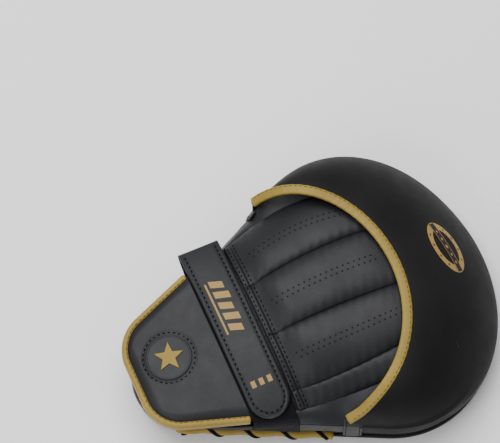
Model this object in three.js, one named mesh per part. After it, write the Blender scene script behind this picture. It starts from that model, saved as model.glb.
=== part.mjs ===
// A curved boxing focus mitt, lying on its striking face with the hand side up.
// Millimetres. The origin is the centre of the striking face, +Y runs from the wrist to the
// fingertips, +X to the thumb side of a left hand, and +Z out of the back of the hand.
import * as THREE from "three";

// ---- driving dimensions ---------------------------------------------------------------
const PAD_WIDTH = 190; // widest point of the side wall
const PAD_LENGTH = 244; // wrist end to fingertip end
const CROWN_DEPTH = 78; // from the widest point to the fingertip end
const WRIST_RADIUS = 33; // round wrist end
const SKIN = 1.5; // synthetic leather with its backing
const GAP = 0.35; // clearance between two layers that touch in the real mitt

const FACE_EDGE_Z = 5.2; // where the face skin ends against the edge piping
const PIPING_Z = 7;
const PIPING_RADIUS = 1.4;
const SEAM_INSET = 4; // the face seam lies this far inside the widest wall
const WALL_FOOT_Z = 8.8; // side walls start just above the edge piping
const WALL_TOP_Z = 38; // where the crown starts to roll over onto the back, at its ends
const TIP_WALL_TOP_Z = 18; // and at the fingertip end
const FOAM_INSET = 7.2;
const CORE_FOAM_Z = 12; // soft striking foam below it, dense foam above it
const PALM_Z = 19.8; // underside of the panel that the palm presses on
const PALM_SKIN = 1.2;

const JUNCTION_Y = -6; // crown wall and lower wall meet under a stitched tab
const TAB = { half: 5, thickness: 1.2 };
const RIM = { x: -3, y: -9, halfWidth: 82.5, depth: 70.7, lowZ: 44, rise: 26.5 }; // mouth of the finger hood

const HEM_Y = -30.5; // wrist end of the finger cover
const HEM = { width: 3.8, thickness: 3 };
const SIDE_PANEL_END_Y = 20;
const COVER_END_Y = 74; // fingertip end of the finger cover, under the hood
const COVER = { x: -2, hemHalfWidth: 59.5, halfWidth: 65, edgeZ: 46, edgeRise: 7, topZ: 64.5 };

const BAND = { y: -49.2, width: 26, topZ: 51.8, drop: 6.5, kneeZ: 29, shoulderZ: 40.5, footZ: 20 };
const STRAP = { y: -48.9, width: 27.2, tipX: 55, foldX: -68, thickness: 3 };
const FLAP = { rootY: -64, x: -2, rootHalfWidth: 48.9, endRadius: 22.6, endX: 13.5, endY: -94.5 };
const FLAP_ROOT_Z = 50.5;
const FLAP_END_Z = 44.5;
const CUFF_PADDING = 4.2;
const CUFF_LINING = 1;
const BINDING_HALF = 2.5; // half the visible width of a gold edge binding
const PATCH = { x: -7.8, y: -95.2, radius: 16.5, thickness: 1.6, lift: 0.7 };
const MARK = { tip: 10.5, notch: 4.6, thickness: 0.9 };

// The gold strip that the side lace is wound round
const TRIM = { z: 13, out: 1.7, halfOut: 1.6, halfUp: 2.6, upperY: -20, lowerY: -107 };
const LACE_RADIUS = 1.4;
const LACE_PITCH = 24;

// ---- colours ----------------------------------------------------------------------------
const material = (color, roughness) => new THREE.MeshStandardMaterial({ color, roughness, metalness: 0 });
const BLACK_LEATHER = material(0x2b2c2f, 0.5);
const GOLD_LEATHER = material(0x9c8040, 0.5);
const FOAM = material(0x3a3a3c, 0.9);
const FABRIC = material(0x1c1c1f, 0.95);
const CORD = material(0x0d0d0e, 0.8);
const RUBBER = material(0x2e3033, 0.6);

const part = new THREE.Group();

function add(name, geometry, look) {
  const mesh = new THREE.Mesh(geometry, look);
  mesh.name = name;
  part.add(mesh);
  return mesh;
}

// ---- solids from grids of points ----------------------------------------------------------
const range = (count) => Array.from({ length: count }, (_, i) => i);
const spread = (from, to, count) => range(count).map((i) => from + ((to - from) * i) / (count - 1));
const lerp = THREE.MathUtils.lerp;
const smooth = THREE.MathUtils.smoothstep;

/** A closed solid between two grids of points of one size; its rows may close into a ring. */
function slab(outer, inner, ring = false) {
  const rows = outer.length;
  const columns = outer[0].length;
  const at = (side, r, c) => side * rows * columns + (r % rows) * columns + c;
  const index = [];
  const quad = (a, b, c, d) => index.push(a, b, c, a, c, d);
  const rowSteps = ring ? rows : rows - 1;
  for (let r = 0; r < rowSteps; r++) {
    for (let c = 0; c < columns - 1; c++) {
      quad(at(0, r, c), at(0, r, c + 1), at(0, r + 1, c + 1), at(0, r + 1, c));
      quad(at(1, r, c), at(1, r + 1, c), at(1, r + 1, c + 1), at(1, r, c + 1));
    }
    const last = columns - 1;
    quad(at(0, r, 0), at(0, r + 1, 0), at(1, r + 1, 0), at(1, r, 0));
    quad(at(0, r, last), at(1, r, last), at(1, r + 1, last), at(0, r + 1, last));
  }
  if (!ring) {
    for (let c = 0; c < columns - 1; c++) {
      quad(at(0, 0, c), at(1, 0, c), at(1, 0, c + 1), at(0, 0, c + 1));
      quad(at(0, rows - 1, c), at(0, rows - 1, c + 1), at(1, rows - 1, c + 1), at(1, rows - 1, c));
    }
  }
  return facingOut([...outer.flat(), ...inner.flat()], index);
}

/** A geometry from shared points, with its faces turned outwards. */
function facingOut(points, index) {
  let volume = 0;
  for (let i = 0; i < index.length; i += 3) {
    const [a, b, c] = [points[index[i]], points[index[i + 1]], points[index[i + 2]]];
    volume += a.dot(b.clone().cross(c));
  }
  const faces = volume < 0 ? index.map((_, i) => index[i - (i % 3) + (2 - (i % 3))]) : index;
  return new THREE.BufferGeometry().setFromPoints(points).setIndex(faces);
}

/** The grid of surface(u, v), moved by depth against the surface's normal. */
function grid(surface, us, vs, depth = 0) {
  const step = 1e-3;
  return us.map((u) =>
    vs.map((v) => {
      const here = surface(u, v);
      if (!depth) return here;
      const du = surface(u + step, v).sub(surface(u - step, v));
      const dv = surface(u, v + step).sub(surface(u, v - step));
      return here.addScaledVector(du.cross(dv).normalize(), -depth);
    }),
  );
}

/** A skin of one thickness below surface(u, v). */
const skin = (surface, us, vs, thickness, depth = 0) =>
  slab(grid(surface, us, vs, depth), grid(surface, us, vs, depth + thickness));

/** A solid roll of oval section along stations of { point, out }, where out is horizontal. */
function roll(stations, halfOut, halfUp, ring = false) {
  const side = (angles) =>
    stations.map(({ point, out }) =>
      angles.map((a) =>
        point
          .clone()
          .addScaledVector(out, halfOut * Math.cos(a))
          .add(new THREE.Vector3(0, 0, halfUp * Math.sin(a))),
      ),
    );
  const quarter = Math.PI / 4;
  const outerAngles = [-1.5, -0.5, 0.5, 1.5].map((k) => k * quarter);
  return slab(side(outerAngles), side(outerAngles.map((a) => Math.PI - a)), ring);
}

// ---- the pear-shaped outline ------------------------------------------------------------
const crownY = PAD_LENGTH / 2 - CROWN_DEPTH;
const wristY = WRIST_RADIUS - PAD_LENGTH / 2;

/** Points round the hull of the crown's ellipse and the wrist's circle, from the wrist end. */
function tracePear() {
  const found = [];
  for (const angle of spread(-Math.PI / 2, (3 * Math.PI) / 2, 721)) {
    const out = new THREE.Vector2(Math.cos(angle), Math.sin(angle));
    const [a, b] = [PAD_WIDTH / 2, CROWN_DEPTH];
    const reach = Math.hypot(a * out.x, b * out.y);
    const crown = new THREE.Vector2((a * a * out.x) / reach, crownY + (b * b * out.y) / reach);
    const wrist = new THREE.Vector2(WRIST_RADIUS * out.x, wristY + WRIST_RADIUS * out.y);
    const point = crown.dot(out) > wrist.dot(out) ? crown : wrist;
    const before = found.at(-1);
    found.push({ point, out, length: before ? before.length + before.point.distanceTo(point) : 0 });
  }
  return found;
}
const PEAR = tracePear();

/** The outline at share s of its length, 0 at the wrist end and 0.5 at the fingertip end. */
function edgeAt(s) {
  const length = s * PEAR.at(-1).length;
  const k = Math.max(1, PEAR.findIndex((p) => p.length >= length));
  const [a, b] = [PEAR[k - 1], PEAR[k]];
  const share = (length - a.length) / (b.length - a.length);
  return { point: a.point.clone().lerp(b.point, share), out: a.out.clone().lerp(b.out, share).normalize() };
}

/** A point of the side wall: at share s, this far inside the outline, at height z. */
function wallPoint(s, inset, z) {
  const { point, out } = edgeAt(s);
  return new THREE.Vector3(point.x - out.x * inset, point.y - out.y * inset, z);
}

/** Half the outline's width at y. */
function halfWidth(y) {
  const k = PEAR.findIndex((p) => p.point.y >= y);
  const [a, b] = [PEAR[k - 1].point, PEAR[k].point];
  return lerp(a.x, b.x, (y - a.y) / (b.y - a.y));
}
/** The share of the outline's length at which it passes y on the thumb side. */
const shareAt = (y) => spread(0, 0.5, 1001).find((s) => edgeAt(s).point.y >= y);
const junction = shareAt(JUNCTION_Y);

function outlineShape(inset) {
  return new THREE.Shape(range(56).map((i) => {
    const p = wallPoint(i / 56, inset, 0);
    return new THREE.Vector2(p.x, p.y);
  }));
}

function layer(name, inset, z, thickness, look) {
  const solid = new THREE.ExtrudeGeometry(outlineShape(inset), { depth: thickness, bevelEnabled: false });
  add(name, solid, look).position.z = z;
}

// ---- striking side: face skin, foams, edge piping -----------------------------------------
{
  // The skin is a shallow tray: flat where it is hit, with a rounded edge.
  const section = [
    [13, 0],
    [8.6, 0.7],
    [5.4, 2.6],
    [SEAM_INSET, FACE_EDGE_Z],
  ];
  const rounds = range(56).map((i) => i / 56);
  const points = [];
  const index = [];
  const levels = [
    ...section.map(([inset, z]) => [inset, z]),
    ...section.map(([inset, z]) => [inset + SKIN * 0.9, Math.max(z, SKIN)]).reverse(),
  ];
  levels.forEach(([inset, z]) => rounds.forEach((s) => points.push(wallPoint(s, inset, z))));
  const n = rounds.length;
  for (let k = 0; k < levels.length - 1; k++) {
    for (let i = 0; i < n; i++) {
      const [a, b] = [k * n + i, k * n + ((i + 1) % n)];
      index.push(a, b, b + n, a, b + n, a + n);
    }
  }
  const under = points.push(new THREE.Vector3(0, 0, 0)) - 1;
  const inside = points.push(new THREE.Vector3(0, 0, SKIN)) - 1;
  for (let i = 0; i < n; i++) {
    const next = (i + 1) % n;
    index.push(under, next, i, inside, (levels.length - 1) * n + i, (levels.length - 1) * n + next);
  }
  add("face_panel", facingOut(points, index), BLACK_LEATHER);
}

layer("strike_foam", FOAM_INSET + 2.4, SKIN + GAP, CORE_FOAM_Z - SKIN - 2 * GAP, FOAM);
layer("core_foam", FOAM_INSET, CORE_FOAM_Z, PALM_Z - CORE_FOAM_Z - GAP, FOAM);
layer("palm_panel", FOAM_INSET, PALM_Z, PALM_SKIN, BLACK_LEATHER);

const along = (s, inset, z) => {
  const { out } = edgeAt(s);
  return { point: wallPoint(s, inset, z), out: new THREE.Vector3(out.x, out.y, 0) };
};
{
  const stations = range(56).map((i) => along(i / 56, SEAM_INSET - PIPING_RADIUS, PIPING_Z));
  add("face_piping", roll(stations, PIPING_RADIUS, PIPING_RADIUS, true), BLACK_LEATHER);
}

// ---- crown: one skin that is both the tall side wall and the finger hood -------------------
/** The mouth of the finger hood, a tilted half ellipse from the thumb side to the other. */
function rimPoint(q, inset = 0) {
  const angle = Math.PI * lerp(0.02, 0.98, q);
  return new THREE.Vector3(
    RIM.x + (RIM.halfWidth - inset) * Math.cos(angle),
    RIM.y + (RIM.depth - inset) * Math.sin(angle),
    RIM.lowZ + RIM.rise * (1 - (1 - Math.sin(angle)) ** 3.5),
  );
}

const WALL_SHARE = 0.4; // part of the crown's surface that is upright wall
/** The crown's outer surface: q round the edge from the thumb side, v from foot to hood rim. */
function crownPoint(q, v) {
  const s = lerp(junction, 1 - junction, q);
  const wallTop = lerp(WALL_TOP_Z, TIP_WALL_TOP_Z, smooth(Math.min(q, 1 - q), 0.1, 0.45));
  if (v < WALL_SHARE) {
    const rise = v / WALL_SHARE;
    const inset = SEAM_INSET * (1 - smooth(rise, 0, 0.55)) + 0.5 * smooth(rise, 0.6, 1);
    return wallPoint(s, inset, lerp(WALL_FOOT_Z, wallTop, rise));
  }
  const f = (v - WALL_SHARE) / (1 - WALL_SHARE);
  const foot = wallPoint(s, 0.5, wallTop);
  const rim = rimPoint(q);
  const z = lerp(wallTop, rim.z, (1 - (1 - f) ** 1.8) ** 0.77);
  return foot.lerp(rim, f).setZ(z);
}

const crownRise = [0.001, 0.13, 0.26, 0.4, 0.46, 0.54, 0.65, 0.8, 0.999];
add("crown_panel", skin(crownPoint, spread(0.001, 0.999, 27), crownRise, SKIN), BLACK_LEATHER);
{
  // Foam that fills the crown between the finger pocket and the skin.
  const stations = spread(0.05, 0.95, 25);
  const outer = stations.map((q) => {
    const roof = [0.3, 0.4, 0.45, 0.5, 0.58, 0.66];
    const points = grid(crownPoint, [q], roof, SKIN + GAP + 0.6)[0];
    points[0].z = PALM_Z + PALM_SKIN + GAP;
    return points;
  });
  const inner = stations.map((q, i) => {
    const s = lerp(junction, 1 - junction, q);
    const reach = wallPoint(s, 0, 0).distanceTo(rimPoint(q).setZ(0));
    const top = outer[i].at(-1).z - 4;
    const inboard = 6 + 0.41 * reach;
    return spread(PALM_Z + PALM_SKIN + GAP, top, 6).map((z) => wallPoint(s, inboard, z));
  });
  add("crown_bolster", slab(outer, inner), FOAM);
}
{
  const stations = spread(0.004, 0.996, 27).map((q) => {
    const ends = 1 - smooth(Math.min(q, 1 - q), 0, 0.08);
    const point = rimPoint(q, BINDING_HALF + GAP + 3.8 * ends);
    point.z -= 0.9;
    return { point, out: new THREE.Vector3(point.x - RIM.x, point.y - RIM.y, 0).normalize() };
  });
  add("hood_binding", roll(stations, BINDING_HALF, 1.7), GOLD_LEATHER);
}

// ---- lower wall, with the trim and lace that close each side -----------------------------------
/** How high the lower wall stands: low round the wrist, full height next to the crown. */
const lowerTop = (y) => lerp(PALM_Z + 2, WALL_TOP_Z, smooth(y, BAND.y + BAND.width / 2 + 1, JUNCTION_Y - 6));
function lowerWallPoint(q, v) {
  const s = lerp(0.002 - junction, junction - 0.002, q);
  const share = s < 0 ? s + 1 : s;
  const top = lowerTop(edgeAt(share).point.y);
  const section = [
    [SEAM_INSET + 0.5, WALL_FOOT_Z],
    [SEAM_INSET + 1.2, TRIM.z],
    [SEAM_INSET + 0.2, TRIM.z + 4],
    [0.3, lerp(TRIM.z + 4, top, 0.55)],
    [0.8, top],
  ];
  const k = Math.min(3, Math.floor(v * 4));
  const f = v * 4 - k;
  const [a, b] = [section[k], section[k + 1]];
  return wallPoint(share, lerp(a[0], b[0], f), lerp(a[1], b[1], f));
}
const lowerRise = [0.002, 0.25, 0.5, 0.75, 0.998];
add("lower_side_wall", skin(lowerWallPoint, spread(0, 1, 30), lowerRise, SKIN), BLACK_LEATHER);

for (const [side, sign] of [["right", 1], ["left", -1]]) {
  const [from, to] = [shareAt(TRIM.upperY), shareAt(TRIM.lowerY)];
  const place = (s) => along(sign > 0 ? s : 1 - s, -TRIM.out, TRIM.z);
  add(`side_trim_${side}`, roll(spread(from, to, 14).map(place), TRIM.halfOut, TRIM.halfUp), GOLD_LEATHER);

  // The lace is wound round the trim, one turn for each stitch through the wall.
  const length = (from - to) * PEAR.at(-1).length;
  const turns = Math.floor(length / LACE_PITCH);
  const coil = spread(0.06, turns - 0.06, turns * 12).map((turn) => {
    const { point, out } = place(lerp(from, to, (turn + 0.1) / (turns + 0.2)));
    const angle = 2 * Math.PI * turn;
    point.addScaledVector(out, (TRIM.halfOut + GAP + LACE_RADIUS) * Math.cos(angle));
    point.z += (TRIM.halfUp + GAP + LACE_RADIUS) * Math.sin(angle);
    return point;
  });
  const section = new THREE.Shape(range(6).map((i) => {
    const angle = (i * Math.PI) / 3;
    return new THREE.Vector2(LACE_RADIUS * Math.cos(angle), LACE_RADIUS * Math.sin(angle));
  }));
  const path = new THREE.CatmullRomCurve3(coil);
  const steps = turns * 14;
  add(`side_lace_${side}`, new THREE.ExtrudeGeometry(section, { extrudePath: path, steps }), CORD);

  // A stitched tab hides the joint between the crown and the lower wall.
  const tabHalf = TAB.half / PEAR.at(-1).length;
  const tab = (u, v) => {
    const s = lerp(junction - tabHalf, junction + tabHalf, u);
    const bulge = SEAM_INSET * (1 - smooth(v, 0, 0.45));
    const z = lerp(WALL_FOOT_Z + 0.6, WALL_TOP_Z - 1, v);
    return wallPoint(sign > 0 ? s : 1 - s, bulge - GAP - TAB.thickness, z);
  };
  const tabIn = (u, v) => {
    const { out } = edgeAt(sign > 0 ? junction : 1 - junction);
    return tab(u, v).sub(new THREE.Vector3(out.x, out.y, 0).multiplyScalar(TAB.thickness));
  };
  const [us, vs] = [spread(0, 1, 3), spread(0, 1, 6)];
  add(`junction_tab_${side}`, slab(grid(tab, us, vs), grid(tabIn, us, vs)), BLACK_LEATHER);
}

// ---- finger cover and the gussets at its sides ----------------------------------------------
/** Half the cover's width: narrow at the hem, widest over the knuckles, narrower under the hood. */
const coverHalfWidth = (y) =>
  lerp(COVER.hemHalfWidth, COVER.halfWidth, smooth(y, HEM_Y, 20)) *
  Math.sqrt(1 - (Math.max(0, y - 20) / 85) ** 2.6);
const coverTop = (y) => COVER.topZ - 7 * (Math.abs(y - 33) / 60) ** 2.4;
const coverEdge = (y) => COVER.edgeZ + COVER.edgeRise * smooth(y, HEM_Y, 45);
/** The finger cover's outer surface: u across from the little finger to the thumb. */
function coverPoint(u, v) {
  const y = lerp(HEM_Y, COVER_END_Y, v);
  const across = 2 * u - 1;
  const z = lerp(coverEdge(y), coverTop(y), 1 - Math.abs(across) ** 2.6);
  return new THREE.Vector3(COVER.x + across * coverHalfWidth(y), y, z);
}
const [coverAcross, coverAlong] = [spread(0.002, 0.998, 15), spread(0.002, 0.998, 9)];
add("finger_cover", skin(coverPoint, coverAcross, coverAlong, SKIN), BLACK_LEATHER);
const [liningAcross, liningAlong] = [spread(0.03, 0.97, 13), spread(0.01, 0.97, 8)];
add("finger_lining", skin(coverPoint, liningAcross, liningAlong, 0.8, SKIN + 2 * GAP), FABRIC);
{
  const hem = (u, v) => {
    const point = coverPoint(u, 0);
    return point.setY(HEM_Y - GAP - HEM.width * (1 - v)).add(new THREE.Vector3(0, 0, 0.8));
  };
  add("finger_hem", skin(hem, spread(0.01, 0.99, 15), spread(0, 1, 3), HEM.thickness), BLACK_LEATHER);
}
for (const [name, sign] of [["glove_gusset", -1], ["thumb_panel", 1]]) {
  const surface = (u, v) => {
    const y = lerp(HEM_Y + 1, SIDE_PANEL_END_Y, u);
    const inner = coverPoint(sign > 0 ? 1 : 0, (y - HEM_Y) / (COVER_END_Y - HEM_Y));
    const mouth = RIM.halfWidth * Math.sqrt(1 - ((y - RIM.y) / RIM.depth) ** 2);
    const outerX = Math.min(halfWidth(y) - 3.4, mouth - 10);
    const outerZ = WALL_TOP_Z + 0.6 + 4 * smooth(y, HEM_Y, -2);
    const outer = new THREE.Vector3(sign * outerX, y, outerZ);
    return outer.lerp(new THREE.Vector3(inner.x + sign, y, inner.z - 0.6), v);
  };
  add(name, skin(surface, spread(0, 1, 7), spread(0, 1, 3), sign * -SKIN), BLACK_LEATHER);
}

// ---- wrist: loop band and strap ------------------------------------------------------------------
const bandTop = (x) => BAND.topZ - BAND.drop * Math.abs(x / 62) ** 2.6;
/** The loop band's outer surface: one leg, over the wrist, and the other leg. */
function bandCurve(y) {
  const foot = halfWidth(y) + 2.2;
  const shoulder = lerp(57.5, 63, (y - BAND.y) / BAND.width + 0.5);
  const half = [
    [foot, BAND.footZ],
    [foot + 0.8, BAND.kneeZ],
    [shoulder, BAND.shoulderZ],
    [shoulder - 5, bandTop(shoulder - 5)],
    [shoulder * 0.6, bandTop(shoulder * 0.6)],
    [shoulder * 0.3, bandTop(shoulder * 0.3)],
  ];
  const points = [...half.map(([x, z]) => [-x, z]), [0, BAND.topZ], ...half.reverse()];
  return new THREE.CatmullRomCurve3(points.map(([x, z]) => new THREE.Vector3(x, y, z)));
}
{
  const ys = spread(BAND.y - BAND.width / 2, BAND.y + BAND.width / 2, 4);
  const curves = ys.map(bandCurve);
  const outer = curves.map((c) => c.getPoints(24));
  const inner = curves.map((c) =>
    range(25).map((i) => {
      const run = c.getTangent(i / 24);
      return c.getPoint(i / 24).add(new THREE.Vector3(run.z, 0, -run.x).normalize().multiplyScalar(SKIN));
    }),
  );
  add("loop_band", slab(outer, inner), FABRIC);
}

const strapZ = (x) => bandTop(x) + 3.2;
const strapHalf = STRAP.width / 2;
const tipCentre = STRAP.tipX - strapHalf;
/** The strap's top surface: u along it from the fold, v across it. */
function strapPoint(u, v) {
  const x = lerp(STRAP.foldX + 1.2, STRAP.tipX - 0.4, u);
  const half = x < tipCentre ? strapHalf : Math.sqrt(strapHalf ** 2 - (x - tipCentre) ** 2);
  return new THREE.Vector3(x, STRAP.y + (2 * v - 1) * half, strapZ(x) + STRAP.thickness / 2);
}
const strapStations = [...spread(0.002, 0.86, 11), 0.9, 0.935, 0.965, 0.985, 0.998];
add("strap_outer", skin(strapPoint, strapStations, spread(0, 1, 3), STRAP.thickness), BLACK_LEATHER);
{
  const patch = (u, v) => {
    const x = lerp(4, 41, u);
    return new THREE.Vector3(x, STRAP.y + (2 * v - 1) * 8.5, strapZ(x) - STRAP.thickness / 2 - GAP);
  };
  add("strap_hook_patch", skin(patch, spread(0, 1, 6), spread(0, 1, 2), 0.9), FABRIC);
}
{
  // The strap's sewn end runs down the side wall from the fold.
  const ys = spread(STRAP.y - strapHalf, STRAP.y + strapHalf, 4);
  const curves = ys.map((y) => {
    const foot = halfWidth(y) + 2.2;
    const points = [
      [-(foot + 2.6), 21],
      [-(foot + 3.4), BAND.kneeZ],
      [STRAP.foldX + 0.4, BAND.shoulderZ - 0.5],
      [STRAP.foldX, strapZ(STRAP.foldX) - 2.4],
    ];
    return new THREE.CatmullRomCurve3(points.map(([x, z]) => new THREE.Vector3(x, y, z)));
  });
  const outer = curves.map((c) => c.getPoints(8));
  const inner = outer.map((row) => row.map((p) => p.clone().add(new THREE.Vector3(SKIN, 0, -0.2))));
  add("strap_root", slab(outer, inner), BLACK_LEATHER);
}

// ---- cuff flap: padded, gold bound, with a round emblem patch --------------------------------------
/** Half the flap's width at y, for a flap that is grown by this much. */
function flapHalfWidth(y, grow) {
  const radius = FLAP.endRadius + grow;
  const root = new THREE.Vector2(FLAP.rootHalfWidth - FLAP.endX, FLAP.rootY - FLAP.endY);
  const angle = root.angle() - Math.acos(FLAP.endRadius / root.length());
  const tangentY = FLAP.endY + radius * Math.sin(angle);
  if (y < tangentY) return FLAP.endX + Math.sqrt(Math.max(0, radius ** 2 - (y - FLAP.endY) ** 2));
  const tangentX = FLAP.endX + radius * Math.cos(angle);
  return lerp(tangentX, FLAP.rootHalfWidth + grow, (y - tangentY) / (FLAP.rootY - tangentY));
}
const flapZ = (x, y) => {
  const down = (FLAP.rootY - y) / (FLAP.rootY - FLAP.endY + FLAP.endRadius);
  return lerp(FLAP_ROOT_Z, FLAP_END_Z, down) - 3 * ((x - FLAP.x) / 54) ** 2;
};
/** The flap's rows, closer together round its free end. */
const flapRows = (grow) => {
  const low = FLAP.endY - FLAP.endRadius - grow;
  return [0, 0.2, 0.4, 0.6, 0.75, 0.87, 0.95, 0.985, 0.999].map((f) => lerp(FLAP.rootY, low, f));
};
function flapLayer(name, grow, depth, thickness, look) {
  const level = (lower) =>
    flapRows(grow).map((y) =>
      spread(-1, 1, 9).map((across) => {
        const x = FLAP.x + across * flapHalfWidth(y, grow);
        return new THREE.Vector3(x, y, flapZ(x, y) - lower);
      }),
    );
  add(name, slab(level(depth), level(depth + thickness)), look);
}
flapLayer("cuff_cover", 0, 0, SKIN, BLACK_LEATHER);
flapLayer("cuff_padding", -SKIN, SKIN + GAP, CUFF_PADDING, FOAM);
flapLayer("cuff_lining", 0, SKIN + 2 * GAP + CUFF_PADDING, CUFF_LINING, FABRIC);
{
  const grow = BINDING_HALF + GAP;
  const right = flapRows(grow).map((y) => [FLAP.x + flapHalfWidth(y, grow), y]);
  const left = right.map(([x, y]) => [2 * FLAP.x - x, y]).reverse();
  const line = [...right, ...left].map(([x, y]) => new THREE.Vector3(x, y, 0));
  const stations = line.map((point, i) => {
    const run = line[Math.min(line.length - 1, i + 1)].clone().sub(line[Math.max(0, i - 1)]);
    const out = new THREE.Vector3(-run.y, run.x, 0).normalize();
    return { point: point.clone().setZ(flapZ(point.x, point.y) - 3.8), out };
  });
  add("cuff_binding", roll(stations, BINDING_HALF, 4), GOLD_LEATHER);
}
{
  const slope = Math.atan((FLAP_ROOT_Z - FLAP_END_Z) / (FLAP.rootY - FLAP.endY + FLAP.endRadius));
  const lie = (mesh, lift) => {
    mesh.position.set(PATCH.x, PATCH.y, flapZ(PATCH.x, PATCH.y) + lift);
    mesh.rotation.x = slope;
  };
  const disc = new THREE.CylinderGeometry(PATCH.radius, PATCH.radius, PATCH.thickness, 36);
  const top = PATCH.lift + PATCH.thickness;
  lie(add("emblem_patch", disc.rotateX(Math.PI / 2), RUBBER), top - PATCH.thickness / 2);

  const star = new THREE.Shape(range(10).map((i) => {
    const angle = Math.PI / 2 + (i * Math.PI) / 5;
    const radius = i % 2 ? MARK.notch : MARK.tip;
    return new THREE.Vector2(radius * Math.cos(angle), radius * Math.sin(angle));
  }));
  const mark = new THREE.ExtrudeGeometry(star, { depth: MARK.thickness, bevelEnabled: false });
  lie(add("emblem_mark", mark, GOLD_LEATHER), top + GAP);
}

export default part;
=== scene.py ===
import math
from bisect import bisect_left

import bmesh
import bpy
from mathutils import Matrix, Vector, noise
from mathutils.bvhtree import BVHTree


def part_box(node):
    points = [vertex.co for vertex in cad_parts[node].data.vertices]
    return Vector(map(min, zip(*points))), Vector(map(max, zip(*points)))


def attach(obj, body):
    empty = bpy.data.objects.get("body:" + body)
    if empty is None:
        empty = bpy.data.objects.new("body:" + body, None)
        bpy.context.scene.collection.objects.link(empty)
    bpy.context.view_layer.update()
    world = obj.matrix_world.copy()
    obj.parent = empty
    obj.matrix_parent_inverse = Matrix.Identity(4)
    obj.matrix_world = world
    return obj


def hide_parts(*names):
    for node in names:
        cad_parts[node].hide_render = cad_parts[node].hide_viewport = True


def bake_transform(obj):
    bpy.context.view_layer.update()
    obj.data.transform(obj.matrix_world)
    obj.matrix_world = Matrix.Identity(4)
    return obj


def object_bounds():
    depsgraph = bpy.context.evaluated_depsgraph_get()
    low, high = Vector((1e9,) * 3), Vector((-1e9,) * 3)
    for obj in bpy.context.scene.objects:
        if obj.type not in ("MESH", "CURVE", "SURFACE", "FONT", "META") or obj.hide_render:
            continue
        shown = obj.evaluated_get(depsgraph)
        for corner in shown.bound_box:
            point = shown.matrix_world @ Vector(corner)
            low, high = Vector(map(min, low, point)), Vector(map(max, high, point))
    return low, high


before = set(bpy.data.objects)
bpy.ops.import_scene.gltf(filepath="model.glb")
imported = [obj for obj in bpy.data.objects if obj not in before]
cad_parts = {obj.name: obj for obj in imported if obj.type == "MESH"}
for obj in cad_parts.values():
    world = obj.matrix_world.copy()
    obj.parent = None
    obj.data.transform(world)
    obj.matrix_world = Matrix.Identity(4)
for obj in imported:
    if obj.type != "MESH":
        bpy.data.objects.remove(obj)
cad_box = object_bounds()

# ---- Camera ------------------------------------------------------------------------------
# It looks down on the back of the mitt from the thumb side, through a long lens, with the
# fingertips to the right.
AZIMUTH, ELEVATION = math.radians(66), math.radians(70)
LENS_MM, SENSOR_MM = 200, 36
CAMERA_DISTANCE = 1.813
AIM_FROM_MIDDLE = Vector((-0.0781, -0.0077, 0.0256))
floor_z = cad_box[0].z
face_low, face_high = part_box("face_panel")
mitt_middle = Vector(((face_low.x + face_high.x) / 2, (face_low.y + face_high.y) / 2, floor_z))
aim = mitt_middle + AIM_FROM_MIDDLE
back = Vector((math.sin(AZIMUTH) * math.cos(ELEVATION),
               -math.cos(AZIMUTH) * math.cos(ELEVATION), math.sin(ELEVATION)))
camera_data = bpy.data.cameras.new("camera")
camera_data.lens, camera_data.sensor_width = LENS_MM, SENSOR_MM
camera = bpy.data.objects.new("camera", camera_data)
bpy.context.scene.collection.objects.link(camera)
camera.location = aim + back * CAMERA_DISTANCE
camera.rotation_euler = (-back).to_track_quat("-Z", "Y").to_euler()
bpy.context.scene.camera = camera

# ---- Studio ------------------------------------------------------------------------------
# A pale floor that the mitt lies on, face down, a wide soft light above it and a smaller
# one low down, which puts the sheen on the leather.
FLOOR_SIZE = 6.0
FLOOR_TONE, FLOOR_ROUGHNESS = 0.97, 0.9
ROOM_GLOW = 0.42


def start_look(name):
    """A new material, with its node tree and its shader."""
    look = bpy.data.materials.new(name)
    look.use_nodes = True
    return look, look.node_tree, look.node_tree.nodes["Principled BSDF"]


floor_bm = bmesh.new()
bmesh.ops.create_grid(floor_bm, x_segments=1, y_segments=1, size=FLOOR_SIZE / 2)
bmesh.ops.translate(floor_bm, verts=floor_bm.verts, vec=(0, 0, floor_z))
floor_mesh = bpy.data.meshes.new("floor")
floor_bm.to_mesh(floor_mesh)
floor_bm.free()
floor = bpy.data.objects.new("floor", floor_mesh)
bpy.context.scene.collection.objects.link(floor)
floor_paint, _, floor_shader = start_look("pale_floor")
floor_shader.inputs["Base Color"].default_value = (FLOOR_TONE, FLOOR_TONE, FLOOR_TONE, 1)
floor_shader.inputs["Roughness"].default_value = FLOOR_ROUGHNESS
floor_mesh.materials.append(floor_paint)

world = bpy.data.worlds.new("studio")
bpy.context.scene.world = world
world.use_nodes = True
world.node_tree.nodes["Background"].inputs["Color"].default_value = (1, 1, 1, 1)
world.node_tree.nodes["Background"].inputs["Strength"].default_value = ROOM_GLOW


def soft_light(name, place, size, power):
    light = bpy.data.lights.new(name, "AREA")
    light.energy, light.size = power, size
    lamp = bpy.data.objects.new(name, light)
    bpy.context.scene.collection.objects.link(lamp)
    lamp.location = place
    lamp.rotation_euler = (Vector(place) - mitt_middle).to_track_quat("Z", "Y").to_euler()


soft_light("overhead", place=(-0.46, -0.05, 1.35), size=1.2, power=25)
soft_light("wrist_side", place=(0.5, -1.1, 1.0), size=0.8, power=9)

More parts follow.
